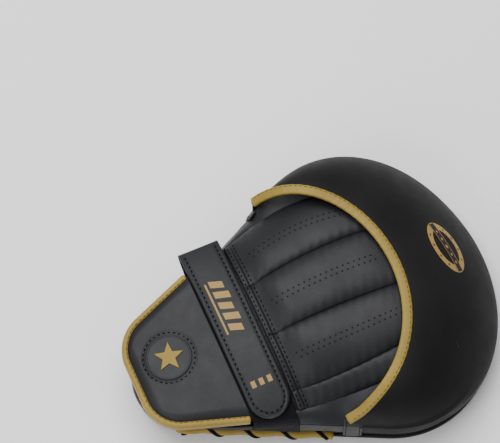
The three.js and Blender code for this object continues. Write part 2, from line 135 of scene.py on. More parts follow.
# ---- Face skin ---------------------------------------------------------------------------
# The striking face: one pear-shaped panel of black synthetic leather, pulled over foam so
# that its edge is round, and sewn to the side walls all the way round.
SEAM_INSET = 0.004
CROWN_DEPTH = 0.078
WRIST_RADIUS = 0.033
OUTLINE_STEPS, SHARE_STEPS = 720, 4000
SKIN = 0.0015
GRAIN_DEPTH = 0.0003
FACE_ROUND = 0.009
FACE_SEAM_Z = 0.0068
ROUND_SHARE = 0.3
FACE_CENTRE = Vector((0, -0.01, 0))
BLACK = (0.0145, 0.0148, 0.0168)

pad_half_width = face_high.x + SEAM_INSET + 0.0001
pad_end_y = face_high.y + SEAM_INSET


def lerp(a, b, t):
    return a + (b - a) * t


def ease(x, low, high):
    t = min(1.0, max(0.0, (x - low) / (high - low)))
    return t * t * (3 - 2 * t)


def trace_outline():
    """Length, point and outward direction round the hull of the crown and the wrist end."""
    found = []
    for k in range(OUTLINE_STEPS + 1):
        angle = 2 * math.pi * k / OUTLINE_STEPS - math.pi / 2
        out = Vector((math.cos(angle), math.sin(angle)))
        reach = math.hypot(pad_half_width * out.x, CROWN_DEPTH * out.y)
        crown = Vector((pad_half_width ** 2 * out.x / reach,
                        pad_end_y - CROWN_DEPTH + CROWN_DEPTH ** 2 * out.y / reach))
        wrist = Vector((0, WRIST_RADIUS - pad_end_y)) + WRIST_RADIUS * out
        point = crown if crown.dot(out) > wrist.dot(out) else wrist
        length = found[-1][0] + (point - found[-1][1]).length if found else 0.0
        found.append((length, point, out))
    return found


outline = trace_outline()
outline_lengths = [length for length, _, _ in outline]
outline_length = outline_lengths[-1]


def edge(share):
    """Point and outward direction of the outline at a share of its length from the wrist end."""
    length = (share % 1.0) * outline_length
    k = min(max(1, bisect_left(outline_lengths, length)), len(outline) - 1)
    (a, low, out_a), (b, high, out_b) = outline[k - 1], outline[k]
    t = (length - a) / max(b - a, 1e-9)
    return low.lerp(high, t), out_a.lerp(out_b, t).normalized()


def wall(share, inset, z):
    point, out = edge(share)
    return Vector((point.x - out.x * inset, point.y - out.y * inset, z))


def share_at(y):
    """The share of the outline at which it passes y on the thumb side."""
    return next(k / SHARE_STEPS for k in range(SHARE_STEPS // 2 + 1)
                if edge(k / SHARE_STEPS)[0].y >= y)


def half_width(y):
    return edge(share_at(y))[0].x


def sheet_mesh(columns, rows, place):
    """A grid of faces, each of whose vertices goes to place(across, along), from 0 to 1."""
    bm = bmesh.new()
    bmesh.ops.create_grid(bm, x_segments=columns, y_segments=rows, size=0.5)
    for v in bm.verts:
        v.co = place(v.co.x + 0.5, v.co.y + 0.5)
    return bm


def swell(bm, amount):
    """Moves each vertex along its normal by amount(its place)."""
    bm.normal_update()
    for v, step in [(v, v.normal * amount(v.co)) for v in bm.verts]:
        v.co += step


surfaces = {}
MITT_HEART = Vector((0, 0, 0.02))
MERGE_DISTANCE = 1e-6


def add_piece(name, bm, look, body, stands_for=(), thickness=0.0, bevel=0.0,
              closed=False):
    """Makes a named piece of a bmesh: faces outwards, a skin's thickness goes inwards."""
    bmesh.ops.remove_doubles(bm, verts=bm.verts, dist=MERGE_DISTANCE)
    if closed:
        bmesh.ops.recalc_face_normals(bm, faces=bm.faces)
    else:
        bm.normal_update()
        outwards = sum(f.normal.dot(f.calc_center_median() - MITT_HEART) * f.calc_area()
                       for f in bm.faces)
        if outwards < 0:
            bmesh.ops.reverse_faces(bm, faces=bm.faces)
    for f in bm.faces:
        f.smooth = True
    surfaces[name] = BVHTree.FromBMesh(bm)
    mesh = bpy.data.meshes.new(name)
    bm.to_mesh(mesh)
    bm.free()
    mesh.materials.append(look)
    piece = bpy.data.objects.new(name, mesh)
    bpy.context.scene.collection.objects.link(piece)
    if thickness:
        wall_modifier = piece.modifiers.new("thickness", "SOLIDIFY")
        wall_modifier.thickness, wall_modifier.offset = thickness, -1
        wall_modifier.use_even_offset = False
    if bevel:
        edge_modifier = piece.modifiers.new("edges", "BEVEL")
        edge_modifier.width, edge_modifier.segments = bevel, 2
        edge_modifier.limit_method, edge_modifier.angle_limit = "ANGLE", math.radians(50)
    if body:
        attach(piece, body)
    if stands_for:
        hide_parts(*stands_for)
    return piece


def shader_group(name, inputs, outputs):
    """A node group of plain float sockets, with its own input and output nodes."""
    tree = bpy.data.node_groups.new(name, "ShaderNodeTree")
    for label, value in inputs:
        socket = tree.interface.new_socket(name=label, in_out="INPUT",
                                           socket_type="NodeSocketFloat")
        socket.default_value = value
    for label in outputs:
        tree.interface.new_socket(name=label, in_out="OUTPUT", socket_type="NodeSocketFloat")
    return tree, tree.nodes.new("NodeGroupInput"), tree.nodes.new("NodeGroupOutput")


def add_node(tree, kind, values=(), **settings):
    """A shader node with its settings and the values or links of its named inputs."""
    made = tree.nodes.new("ShaderNode" + kind)
    for key, value in settings.items():
        setattr(made, key, value)
    for key, value in dict(values).items():
        if isinstance(value, bpy.types.NodeSocket):
            tree.links.new(value, made.inputs[key])
        else:
            made.inputs[key].default_value = value
    return made


def leather_grain_group():
    """Pebbled grain, and the slow changes of tone and polish over a hide-like sheet."""
    tree, given, result = shader_group("leather_grain", [("Pebble", 1100.0), ("Cloud", 28.0)],
                                       ["Height", "Tone", "Polish"])
    place = add_node(tree, "TexCoord").outputs["Object"]
    pebbles = add_node(tree, "TexVoronoi", {"Vector": place, "Scale": given.outputs["Pebble"]})
    fine = add_node(tree, "TexNoise", {"Vector": place, "Scale": 2600.0, "Detail": 3.0})
    height = add_node(tree, "Math", {0: pebbles.outputs["Distance"], 1: fine.outputs["Fac"]},
                      operation="ADD")
    cloud = add_node(tree, "TexNoise", {"Vector": place, "Scale": given.outputs["Cloud"],
                                        "Detail": 4.0})
    smudge = add_node(tree, "TexNoise", {"Vector": place, "Scale": 75.0, "Detail": 6.0,
                                         "Roughness": 0.65})
    for label, socket in (("Height", height.outputs[0]), ("Tone", cloud.outputs["Fac"]),
                          ("Polish", smudge.outputs["Fac"])):
        tree.links.new(socket, result.inputs[label])
    return tree


leather_grain = leather_grain_group()


def shaded(colour, factor):
    return [channel * factor for channel in colour]


def finish_look(tree, shader, mask, dark, light, height, relief, depth, plain):
    """Wires a colour between two tones and a bump to the shader, and sets its plain values."""
    mix = add_node(tree, "Mix", {"Factor": mask, "A": [*dark, 1], "B": [*light, 1]},
                   data_type="RGBA")
    bump = add_node(tree, "Bump", {"Height": height, "Strength": relief, "Distance": depth})
    tree.links.new(mix.outputs["Result"], shader.inputs["Base Color"])
    tree.links.new(bump.outputs[0], shader.inputs["Normal"])
    for label, value in plain.items():
        shader.inputs[label].default_value = value


def leather(name, colour, roughness, pebble=1100.0, relief=0.16, spread=0.22, gloss=0.22):
    """Synthetic leather: grain as bump, with a little cloud in its colour and its polish."""
    look, tree, shader = start_look(name)
    grain = tree.nodes.new("ShaderNodeGroup")
    grain.node_tree = leather_grain
    grain.inputs["Pebble"].default_value = pebble
    middle_band = {"From Min": 0.3, "From Max": 0.7}
    tone = add_node(tree, "MapRange", {"Value": grain.outputs["Tone"], **middle_band})
    polish = add_node(tree, "MapRange", {"Value": grain.outputs["Polish"], **middle_band,
                                         "To Min": roughness - 0.05, "To Max": roughness + 0.07})
    tree.links.new(polish.outputs[0], shader.inputs["Roughness"])
    finish_look(tree, shader, tone.outputs[0], shaded(colour, 1 - spread),
                shaded(colour, 1 + spread), grain.outputs["Height"], relief, GRAIN_DEPTH,
                {"Specular IOR Level": gloss})
    return look


black_leather = leather("black_leather", BLACK, 0.44)


def face_point(share, depth):
    """The face skin: depth 0 at the seam, rounding under to the flat face, 1 at its middle."""
    if depth < ROUND_SHARE:
        turn = depth / ROUND_SHARE * math.pi / 2
        return wall(share, SEAM_INSET + FACE_ROUND * (1 - math.cos(turn)),
                    FACE_SEAM_Z * (1 - math.sin(turn)))
    flat_edge = wall(share, SEAM_INSET + FACE_ROUND, 0.0)
    return flat_edge.lerp(FACE_CENTRE, (depth - ROUND_SHARE) / (1 - ROUND_SHARE))


face = add_piece("face_skin", sheet_mesh(220, 40, face_point), black_leather, "pad",
                 ["face_panel"], thickness=SKIN)

# ---- Face print --------------------------------------------------------------------------
# A gold foil stripe down the middle of the face, three slanted gold blocks below it, and
# plain angular lines pressed into the leather on both sides.
STRIPE_HALF = 0.010
STRIPE_TOP_Y = 0.108
STRIPE_CUT_LEFT_Y, STRIPE_CUT_RIGHT_Y = 0.018, 0.008
BLOCK_START_Y, BLOCK_PITCH, BLOCK_LENGTH, BLOCK_SLANT = -0.014, 0.034, 0.022, -0.010
FOIL_LIFT = 0.00008
GOLD_FOIL = (0.31, 0.195, 0.055)


def lay_patch(bm, corners, surface, towards, lift=FOIL_LIFT, cells=10):
    """A small sheet between four corners, laid on a surface that is met going towards."""
    made = bmesh.ops.create_grid(bm, x_segments=cells, y_segments=cells, size=0.5)["verts"]
    a, b, c, d = (Vector(corner) for corner in corners)
    for v in made:
        across, along = v.co.x + 0.5, v.co.y + 0.5
        flat = a.lerp(b, across).lerp(d.lerp(c, across), along)
        hit, normal, _, _ = surface.ray_cast(flat - towards * 0.1, towards)
        v.co = hit + normal * lift if hit else flat


gold_foil = leather("gold_foil", GOLD_FOIL, 0.36, relief=0.1, spread=0.08)
pressed_line = leather("pressed_line", (0.008, 0.008, 0.009), 0.3, relief=0.05)
UP = Vector((0, 0, 1))

stripe_bm = bmesh.new()
lay_patch(stripe_bm, [(-STRIPE_HALF, STRIPE_CUT_LEFT_Y, 0), (STRIPE_HALF, STRIPE_CUT_RIGHT_Y, 0),
                      (STRIPE_HALF, STRIPE_TOP_Y, 0), (-STRIPE_HALF, STRIPE_TOP_Y, 0)],
          surfaces["face_skin"], UP, cells=24)
for k in range(3):
    low = BLOCK_START_Y - BLOCK_PITCH * k
    lay_patch(stripe_bm, [(-STRIPE_HALF, low, 0), (STRIPE_HALF, low + BLOCK_SLANT, 0),
                          (STRIPE_HALF, low + BLOCK_LENGTH + BLOCK_SLANT, 0),
                          (-STRIPE_HALF, low + BLOCK_LENGTH, 0)],
              surfaces["face_skin"], UP)
add_piece("face_stripe", stripe_bm, gold_foil, "pad")

LINE_HALF = 0.0005
ZIGZAGS = [
    [(0.020, 0.075), (0.034, 0.092), (0.062, 0.070), (0.040, 0.030), (0.020, 0.045)],
    [(0.024, 0.010), (0.048, 0.026), (0.074, 0.050), (0.080, 0.020), (0.052, -0.006),
     (0.024, -0.020)],
    [(0.020, -0.035), (0.046, -0.014), (0.054, -0.030), (0.030, -0.062), (0.018, -0.056)],
]
lines_bm = bmesh.new()
for side in (-1, 1):
    for zigzag in ZIGZAGS:
        corners = [Vector((side * x, y)) for x, y in zigzag]
        for a, b in zip(corners, corners[1:]):
            run = (b - a).normalized()
            wide = Vector((-run.y, run.x)) * LINE_HALF
            a, b = a - run * LINE_HALF, b + run * LINE_HALF
            lay_patch(lines_bm, [(*(a - wide), 0), (*(b - wide), 0), (*(b + wide), 0),
                                 (*(a + wide), 0)], surfaces["face_skin"], UP, cells=4)
add_piece("face_lines", lines_bm, pressed_line, "pad")

# ---- Face seam piping --------------------------------------------------------------------
# A thin black piping cord, covered in the same leather, caught in the seam between the
# face and the side walls.
PIPING_RADIUS = 0.0014
piping_low, piping_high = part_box("face_piping")
piping_z = (piping_low.z + piping_high.z) / 2


def roll_mesh(steps, sides, spine, half_wide, half_high, ring=False, square=1.0, cap=0.03):
    """A long roll round spine(t) = (middle, sideways, up), with round ends or joined up."""
    frames = [spine(k / steps) for k in range(steps + 1)]

    def place(around, t):
        middle, sideways, up = frames[round(t * steps)]
        turn = 2 * math.pi * around
        c, s = math.cos(turn), math.sin(turn)
        taper = 1.0 if ring else math.sqrt(max(0.0, 1 - max(0.0, 1 - min(t, 1 - t) / cap) ** 2))
        wide = math.copysign(abs(c) ** square, c) * half_wide * taper
        high = math.copysign(abs(s) ** square, s) * half_high * taper
        return middle + sideways * wide + up * high

    return sheet_mesh(sides, steps, place)


def piping_spine(t):
    _, out = edge(t)
    return wall(t, SEAM_INSET - PIPING_RADIUS, piping_z), Vector((out.x, out.y, 0)), UP


add_piece("face_piping_cord",
          roll_mesh(260, 10, piping_spine, PIPING_RADIUS, PIPING_RADIUS, ring=True),
          black_leather, "pad", ["face_piping"], closed=True)

# ---- Crown skin --------------------------------------------------------------------------
# One panel of black leather is both the tall wall round the fingertips and the hood over
# them. It is stretched over a horseshoe of foam, so it is round and almost without folds.
TAB_Y = -0.006
WALL_FOOT_Z = 0.0088
WALL_TOP_Z = 0.038
TIP_WALL_TOP_Z = 0.018
WALL_SHARE = 0.35
tab_share = share_at(TAB_Y)
RIM_X = -0.0025
RIM_Y = -0.009
RIM_HALF_WIDTH = 0.0820
RIM_DEPTH = 0.0707
RIM_LOW_Z = 0.044
RIM_END_TURN = 0.02
TAPE_OVERLAP = 0.0026
WALL_INSET = 0.0004
TOPSTITCH_RISE, TOPSTITCH_PULL, TOPSTITCH_SPREAD = 0.0030, 0.0006, 0.0011
TOPSTITCH_SHARE = 0.065
BEAD_FLATNESS = 0.8
RIDGE_HIGH, RIDGE_SPREAD = 0.0012, 0.0022
# The crown's black is darker than the rest of the black leather: partly a duller leather of its
# own, partly painted shade for the hood's slopes, which face away from the light.
CROWN_BLACK_WITH_PAINTED_SHADE = (0.0105, 0.0105, 0.0112)
rim_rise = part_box("crown_panel")[1].z - RIM_LOW_Z


def rim_angle(q):
    return math.pi * lerp(RIM_END_TURN, 1 - RIM_END_TURN, q)


def rim_point(q, inset=0.0):
    """The hood's mouth: half an ellipse that climbs fast from each side of the mitt."""
    angle = rim_angle(q)
    high = 1 - (1 - math.sin(angle)) ** 3.5
    return Vector((RIM_X + (RIM_HALF_WIDTH - inset) * math.cos(angle),
                   RIM_Y + (RIM_DEPTH - inset) * math.sin(angle), RIM_LOW_Z + rim_rise * high))


def crown_point(q, v):
    """The crown skin: q round the edge from the thumb side, v from the face seam to the rim."""
    share = lerp(tab_share, 1 - tab_share, q)
    top = lerp(WALL_TOP_Z, TIP_WALL_TOP_Z, ease(min(q, 1 - q), 0.1, 0.45))
    if v < WALL_SHARE:
        rise = v / WALL_SHARE
        inset = lerp(SEAM_INSET - 0.0003, WALL_INSET, ease(rise, -0.1, 0.75))
        return wall(share, inset, lerp(WALL_FOOT_Z, top, rise))
    turn = (v - WALL_SHARE) / (1 - WALL_SHARE) * math.pi / 2
    rim = rim_point(q, TAPE_OVERLAP)
    roof = wall(share, WALL_INSET, top).lerp(rim, 1 - math.cos(turn))
    roof.z = top + (rim.z - top) * (1 - math.cos(turn) ** 1.8) ** 0.77
    return roof


def crown_relief(place):
    """Soft unevenness of leather over foam, and the line that the topstitch pulls in."""
    slow = 0.0006 + noise.noise(place * 22) * 0.0004
    below = (place.z - WALL_FOOT_Z - TOPSTITCH_RISE) / TOPSTITCH_SPREAD
    pull = -TOPSTITCH_PULL * math.exp(-below ** 2)
    ridge_run = ease(place.x, 0.02, 0.06) * ease(0.085 - place.y, 0, 0.05)
    beside_ridge = (place.z - WALL_TOP_Z - 0.012 * max(0, place.y)) / RIDGE_SPREAD
    return slow + pull + RIDGE_HIGH * ridge_run * math.exp(-beside_ridge ** 2)


# A duller copy of the black leather for the crown, whose darker colour is partly painted shade.
crown_leather = leather("crown_leather", CROWN_BLACK_WITH_PAINTED_SHADE, 0.55, gloss=0.085)
crown_bm = sheet_mesh(260, 64, crown_point)
swell(crown_bm, crown_relief)
crown = add_piece("crown_skin", crown_bm, crown_leather, "pad",
                  ["crown_panel"], thickness=SKIN)


def thread_look(name, colour):
    """Waxed polyester thread, with the twist of its strands as bump."""
    look, tree, shader = start_look(name)
    place = add_node(tree, "TexCoord").outputs["Object"]
    twist = add_node(tree, "TexWave", {"Vector": place, "Scale": 700.0, "Distortion": 1.5},
                     bands_direction="DIAGONAL").outputs["Fac"]
    finish_look(tree, shader, twist, shaded(colour, 0.7), colour, twist, 0.4, 0.0002,
                {"Roughness": 0.75, "Specular IOR Level": 0.12})
    return look


black_thread = thread_look("black_thread", (0.0025, 0.0025, 0.003))
gold_thread = thread_look("gold_thread", (0.13, 0.088, 0.022))


def walk(points, pitch, ring=False):
    """(place, direction) at even steps along a line of points."""
    line = points + points[:1] if ring else points
    lengths = [0.0]
    for a, b in zip(line, line[1:]):
        lengths.append(lengths[-1] + (b - a).length)
    count = max(1, round(lengths[-1] / pitch))
    for k in range(count):
        at = (k + 0.5) / count * lengths[-1]
        j = min(max(1, bisect_left(lengths, at)), len(line) - 1)
        t = (at - lengths[j - 1]) / max(lengths[j] - lengths[j - 1], 1e-9)
        yield line[j - 1].lerp(line[j], t), (line[j] - line[j - 1]).normalized()


def stitch_row(bm, points, surface, pitch, length, width, ring=False):
    """A row of stitches on a surface: each is one small bead of thread between two holes."""
    for place, run in walk(points, pitch, ring):
        hit, normal, _, _ = surface.find_nearest(place)
        if hit is None:
            continue
        if normal.z < -0.5 and place.z > 0.01:
            normal = -normal
        run = (run - normal * run.dot(normal)).normalized()
        side = normal.cross(run)
        bead = bmesh.ops.create_icosphere(bm, subdivisions=1, radius=0.5)["verts"]
        for v in bead:
            v.co = (hit + run * (v.co.x * length) + side * (v.co.y * width)
                    + normal * (v.co.z * width * BEAD_FLATNESS))


def sew(name, rows, thread, body, ring=False):
    """One piece of stitches in rows, each (line, piece it lies on, pitch, length, width)."""
    bm = bmesh.new()
    for line, ground, pitch, length, width in rows:
        stitch_row(bm, line, surfaces[ground], pitch, length, width, ring)
    add_piece(name, bm, thread, body, closed=True)


crown_line = [crown_point(k / 300, TOPSTITCH_SHARE) for k in range(4, 297)]
sew("crown_topstitch", [(crown_line, "crown_skin", 0.0036, 0.0026, 0.0009)], black_thread, "pad")

# ---- Hood binding ------------------------------------------------------------------------
# Gold leather tape, folded over the raw edge of the hood's mouth and sewn through with
# gold thread. Its two ends run down to the stitched tabs.
BINDING_HALF_WIDE = 0.0033
BINDING_HALF_HIGH = 0.0016
TAPE_TILT = Vector((0, 0, -0.09))
THUMB_END_PULL = Vector((0, -0.0045, 0.0006))
TAPE_SUNK = 0.0003
HOOD_STITCH_SLIDE = 0.0018
GOLD = (0.27, 0.185, 0.034)
gold_leather = leather("gold_leather", GOLD, 0.40, relief=0.14, spread=0.14)


def binding_frame(q, slide=0.0):
    """The tape's middle, the way across it towards the crown, and the way out of it."""
    middle = rim_point(q, BINDING_HALF_WIDE)
    middle += THUMB_END_PULL * ease(0.03 - q, 0, 0.03)
    angle = rim_angle(q)
    across = Vector((math.cos(angle) / RIM_HALF_WIDTH, math.sin(angle) / RIM_DEPTH, 0))
    across = (across.normalized() + TAPE_TILT).normalized()
    along = (rim_point(q + 0.002) - rim_point(q - 0.002)).normalized()
    out = across.cross(along)
    if out.z < 0:
        out = -out
    return middle + across * slide - out * TAPE_SUNK, across, out


def hood_spine(t):
    middle, across, out = binding_frame(lerp(-0.001, 1.001, t))
    lumps = 0.00012 * math.sin(t * 260) + 0.0002 * noise.noise(middle * 90)
    return middle + out * lumps, across, out


add_piece("hood_binding_tape",
          roll_mesh(260, 18, hood_spine, BINDING_HALF_WIDE, BINDING_HALF_HIGH, square=0.62,
                    cap=0.0012),
          gold_leather, "pad", ["hood_binding"], closed=True)
hood_line = []
for k in range(3, 298):
    middle, _, out = binding_frame(k / 300, HOOD_STITCH_SLIDE)
    hood_line.append(middle + out * BINDING_HALF_HIGH)
sew("hood_binding_stitches", [(hood_line, "hood_binding_tape", 0.0034, 0.0025, 0.0006)],
    gold_thread, "pad")

# ---- Crown badge -------------------------------------------------------------------------
# An oval gold foil stamp pressed into the top of the crown: a ring with dots, crossed by a
# plain dark band with a row of round marks.
BADGE_X, BADGE_Y = -0.0016, 0.0958
BADGE_TURN = math.radians(9)
BADGE_RADIUS = 0.0188
BADGE_SQUASH = 0.60
RING_WIDTH = 0.0055
ROW_PITCH, ROW_DOT, ROW_MIDDLE_DOT = 0.0058, 0.0013, 0.0018
RULE_Y, RULE_HALF_LONG, RULE_WIDTH = 0.0036, 0.0175, 0.0006
GROUND_HALF_LONG = 0.0181
RING_DOT = 0.0009
above_badge = Vector((BADGE_X, BADGE_Y, 0.2))
badge_hit, badge_normal, _, _ = surfaces["crown_skin"].ray_cast(above_badge, -UP)
badge_side = Vector((1, 0, 0))
badge_up = badge_normal.cross(badge_side).normalized()


def on_badge(x, y, lift):
    """A point of the stamp: x along and y across it, in metres, lying on the crown."""
    y *= BADGE_SQUASH
    along = x * math.cos(BADGE_TURN) - y * math.sin(BADGE_TURN)
    across = x * math.sin(BADGE_TURN) + y * math.cos(BADGE_TURN)
    start = badge_hit + badge_side * along + badge_up * across + badge_normal * 0.05
    hit, normal, _, _ = surfaces["crown_skin"].ray_cast(start, -badge_normal)
    return hit + normal * lift


def badge_sheet(columns, rows, shape, lift):
    return sheet_mesh(columns, rows, lambda a, b: on_badge(*shape(a, b), lift))


def ring_shape(a, b):
    angle, radius = 2 * math.pi * a, BADGE_RADIUS - RING_WIDTH * b
    return radius * math.cos(angle), radius * math.sin(angle)


def dot_shape(x, y, radius):
    return lambda a, b: (x + radius * b * math.cos(2 * math.pi * a),
                         y + radius * b * math.sin(2 * math.pi * a))


def bar_shape(y, half_long, width):
    return lambda a, b: (lerp(-half_long, half_long, a), y + width * (b - 0.5))


def merge_into(bm, other):
    """Adds another bmesh's faces to bm."""
    temporary = bpy.data.meshes.new("temporary")
    other.to_mesh(temporary)
    other.free()
    bm.from_mesh(temporary)
    bpy.data.meshes.remove(temporary)


badge_bm = badge_sheet(96, 4, ring_shape, FOIL_LIFT)
for k in range(-2, 3):
    dot = dot_shape(ROW_PITCH * k, 0, ROW_DOT if k else ROW_MIDDLE_DOT)
    merge_into(badge_bm, badge_sheet(4, 1, dot, FOIL_LIFT * 4))
for y in (-RULE_Y, RULE_Y):
    rule = bar_shape(y, RULE_HALF_LONG, RULE_WIDTH)
    merge_into(badge_bm, badge_sheet(30, 1, rule, FOIL_LIFT * 4))
add_piece("crown_badge", badge_bm, gold_foil, "pad")
badge_dark_bm = badge_sheet(40, 6, bar_shape(0, GROUND_HALF_LONG, 2 * RULE_Y), FOIL_LIFT * 2.5)
for k in range(12):
    angle = math.radians(30 * k + 15)
    if abs(math.sin(angle)) > 0.4:
        radius = BADGE_RADIUS - RING_WIDTH / 2
        dot = dot_shape(radius * math.cos(angle), radius * math.sin(angle), RING_DOT)
        merge_into(badge_dark_bm, badge_sheet(10, 1, dot, FOIL_LIFT * 2.5))
add_piece("crown_badge_ground", badge_dark_bm, pressed_line, "pad")

# ---- Finger cover ------------------------------------------------------------------------
# The padded back of the glove that holds the fingers down: leather quilted into long soft
# channels, with two rows of punched air holes down the three broad ones.
cover_low, cover_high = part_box("finger_cover")
HEM_Y = cover_low.y
COVER_END_Y = cover_high.y
COVER_TOP_Z = 0.0643
COVER_DROP = 0.0075
COVER_PEAK_Y, COVER_PEAK_REACH = 0.034, 0.064
COVER_PUCKER, COVER_SLOW = 0.00022, 0.0005
COVER_SIDE_LOW_Z, COVER_SIDE_HIGH_Z = 0.0460, 0.0570
CREASES = [(-0.0608, -0.0681, -0.0570), (-0.0280, -0.0316, -0.0300), (0.0077, 0.0085, 0.0106),
           (0.0456, 0.0480, 0.0455), (0.0570, 0.0630, 0.0640)]
CREASE_MIDDLE, CREASE_FAR, CREASE_GAP = 0.5, 0.84, 0.34
CHANNEL_PUFF = [0.0040, 0.0042, 0.0040, 0.0020]


def crease_x(k, t):
    """Where crease k runs at a share t of the cover's length: a slow curve through three points."""
    a, b, c = CREASES[k]
    from_middle, from_far = t - CREASE_MIDDLE, t - CREASE_FAR
    return (a * from_middle * from_far / (CREASE_MIDDLE * CREASE_FAR)
            + b * t * from_far / (CREASE_MIDDLE * -CREASE_GAP)
            + c * t * from_middle / (CREASE_FAR * CREASE_GAP))


def cover_arch(x, t):
    """The height of the cover's creases: an arch across the hand that climbs to the fingers."""
    y = lerp(HEM_Y, COVER_END_Y, t)
    top = COVER_TOP_Z - COVER_DROP * abs((y - COVER_PEAK_Y) / COVER_PEAK_REACH) ** 2.2
    side = lerp(COVER_SIDE_LOW_Z, COVER_SIDE_HIGH_Z, ease(y, -0.03, 0.045))
    middle = (crease_x(0, t) + crease_x(4, t)) / 2
    half = (crease_x(4, t) - crease_x(0, t)) / 2
    return lerp(side, top, 1 - min(1.0, abs((x - middle) / half)) ** 2.5)


def cover_point(across, t):
    k = min(3, int(across * 4))
    w = (1 - math.cos(math.pi * (across * 4 - k))) / 2
    x = lerp(crease_x(k, t), crease_x(k + 1, t), w)
    y = lerp(HEM_Y, COVER_END_Y, t)
    puff = CHANNEL_PUFF[k] * max(0.0, 1 - abs(2 * w - 1) ** 2.4) ** 0.5
    puff *= lerp(0.35, 1.0, ease(t, 0.0, 0.16)) * lerp(1.0, 0.6, ease(t, 0.7, 0.95))
    span = crease_x(k + 1, t) - crease_x(k, t)
    near = min(w, 1 - w) * span
    pucker = COVER_PUCKER * math.sin(y * 900 + k * 2 + x * 300) * math.exp(-near / 0.004)
    slow = COVER_SLOW * noise.noise(Vector((x * 40, y * 22, k * 3.1)))
    return Vector((x, y, cover_arch(x, t) + puff + pucker + slow))


cover = add_piece("finger_cover_skin", sheet_mesh(4 * 44, 120, cover_point), black_leather,
                  "pad", ["finger_cover"], thickness=SKIN)

HOLE_RADIUS = 0.00062
HOLE_PITCH = 0.0038
HOLE_ROW_HALF = 0.00175
HOLE_START, HOLE_END = 0.0085, 0.080
HOLE_LIFT = 0.00004
hole_look = leather("hole_shadow", (0.003, 0.003, 0.003), 0.8, relief=0.0)
holes_bm = bmesh.new()
for k in range(3):
    for row in (-1, 1):
        y = HEM_Y + HOLE_START + (HOLE_PITCH / 2 if row > 0 else 0)
        while y < HEM_Y + HOLE_END:
            t = (y - HEM_Y) / (COVER_END_Y - HEM_Y)
            x = (crease_x(k, t) + crease_x(k + 1, t)) / 2 + row * HOLE_ROW_HALF
            hit, normal, _, _ = surfaces["finger_cover_skin"].ray_cast(Vector((x, y, 0.2)), -UP)
            turn = normal.to_track_quat("Z", "Y").to_matrix().to_4x4()
            turn.translation = hit + normal * HOLE_LIFT
            bmesh.ops.create_circle(holes_bm, cap_ends=True, segments=10, radius=HOLE_RADIUS,
                                    matrix=turn)
            y += HOLE_PITCH
add_piece("air_holes", holes_bm, hole_look, "pad")

# ---- Finger cover hem --------------------------------------------------------------------
# The wrist end of the cover, turned under into a flat roll of leather. One row of black
# thread runs along the roll, and one just above it through the cover.
HEM_HALF = 0.0021
HEM_HALF_HIGH = 0.0017
COVER_ROW_SHARE = 0.022


def hem_spine(t):
    across = lerp(0.004, 0.996, t)
    point = cover_point(across, 0.0)
    middle = Vector((point.x, HEM_Y - HEM_HALF + 0.0004, point.z + 0.0001))
    return middle, Vector((0, 1, 0)), UP


add_piece("hem_roll", roll_mesh(150, 14, hem_spine, HEM_HALF, HEM_HALF_HIGH, square=0.6, cap=0.008),
          black_leather, "pad", ["finger_hem"], closed=True)
hem_line = [hem_spine(k / 150)[0] + Vector((0, -0.0004, 0.003)) for k in range(3, 148)]
cover_line = [cover_point(lerp(0.01, 0.99, k / 150), COVER_ROW_SHARE) for k in range(151)]
sew("hem_stitches", [(hem_line, "hem_roll", 0.0034, 0.0024, 0.0010),
                     (cover_line, "finger_cover_skin", 0.0034, 0.0024, 0.0009)],
    black_thread, "pad")

# ---- Side panels of the finger cover -----------------------------------------------------
# Leather gussets from the cover's edges to the side walls and up under the hood: broad on
# the thumb side, narrow on the other. The hem's lower layer is a strip of leather that
# ends in a point on the broad one.
PANEL_START, PANEL_END_Y = 0.0066, 0.050
UNDER_RIM_DROP = 0.0052


def side_panel(sign):
    edge_index = 4 if sign > 0 else 0

    def place(a, b):
        y = lerp(HEM_Y - PANEL_START, PANEL_END_Y, b)
        t = (y - HEM_Y) / (COVER_END_Y - HEM_Y)
        inner_x = crease_x(edge_index, t)
        inner = Vector((inner_x, y, cover_arch(inner_x, t) - 0.0004))
        flank = Vector((sign * (half_width(y) + 0.0001), y, WALL_TOP_Z + 0.0005))
        angle = math.asin(min(1.0, max(0.0, (y - RIM_Y) / RIM_DEPTH)))
        q = max(0.0, (angle / math.pi - RIM_END_TURN) / (1 - 2 * RIM_END_TURN))
        rim = rim_point(q if sign > 0 else 1 - q)
        under_rim = rim + Vector((sign * 0.0005, 0, -UNDER_RIM_DROP))
        under_rim.x = sign * min(abs(under_rim.x), half_width(y) - 0.0006)
        outer = flank.lerp(under_rim, ease(y, -0.014, -0.003))
        point = inner.lerp(outer, a)
        sag = math.sin(math.pi * a)
        point.z += sag * lerp(0.0022, -0.0010, ease(y, -0.03, 0.01))
        point.z += 0.0004 * noise.noise(Vector((point.x * 60, y * 40, 5.0)))
        return point

    return place


for name, sign, node in (("thumb_panel_skin", 1, "thumb_panel"),
                         ("little_finger_gusset", -1, "glove_gusset")):
    add_piece(name, sheet_mesh(24, 70, side_panel(sign)), black_leather, "pad",
              [node], thickness=SKIN)

UNDER_HEM_START_X, UNDER_HEM_POINT_X = -0.0600, 0.0622
UNDER_HEM_NARROWS_X = 0.052
UNDER_HEM_WIDTH, UNDER_HEM_SKIN = 0.0054, 0.0010


